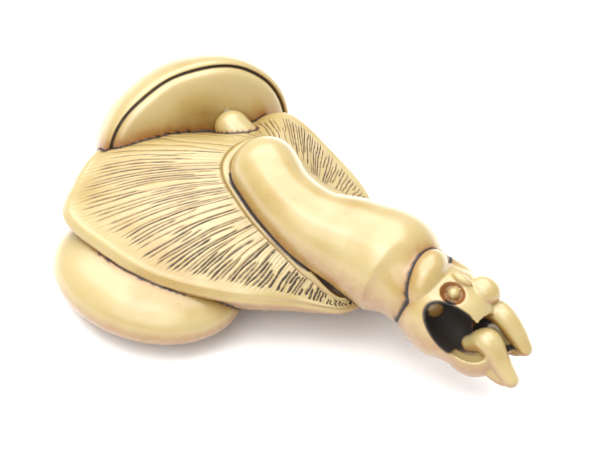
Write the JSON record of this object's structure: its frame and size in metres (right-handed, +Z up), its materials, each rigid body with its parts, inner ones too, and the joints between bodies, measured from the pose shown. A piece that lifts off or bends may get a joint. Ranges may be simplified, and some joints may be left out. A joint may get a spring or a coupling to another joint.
{
  "type": "netsuke",
  "caption": "Small ornamental toggle carved in one piece as a cluster of mushrooms, one lying gills up with its stem across it and a carved root end.",
  "frame": {"origin": "middle of the footprint, on the surface that the netsuke lies on", "axes": "+X along the length, from the caps to the root's prongs, +Z up, out of the gilled side"},
  "size_m": [0.0546, 0.0348, 0.0188],
  "materials": {
    "ivory": "polished ivory-like carving with brown staining in the recesses"
  },
  "bodies": {
    "root": {"mushroom_cluster": "ivory"}
  },
  "joints": []
}
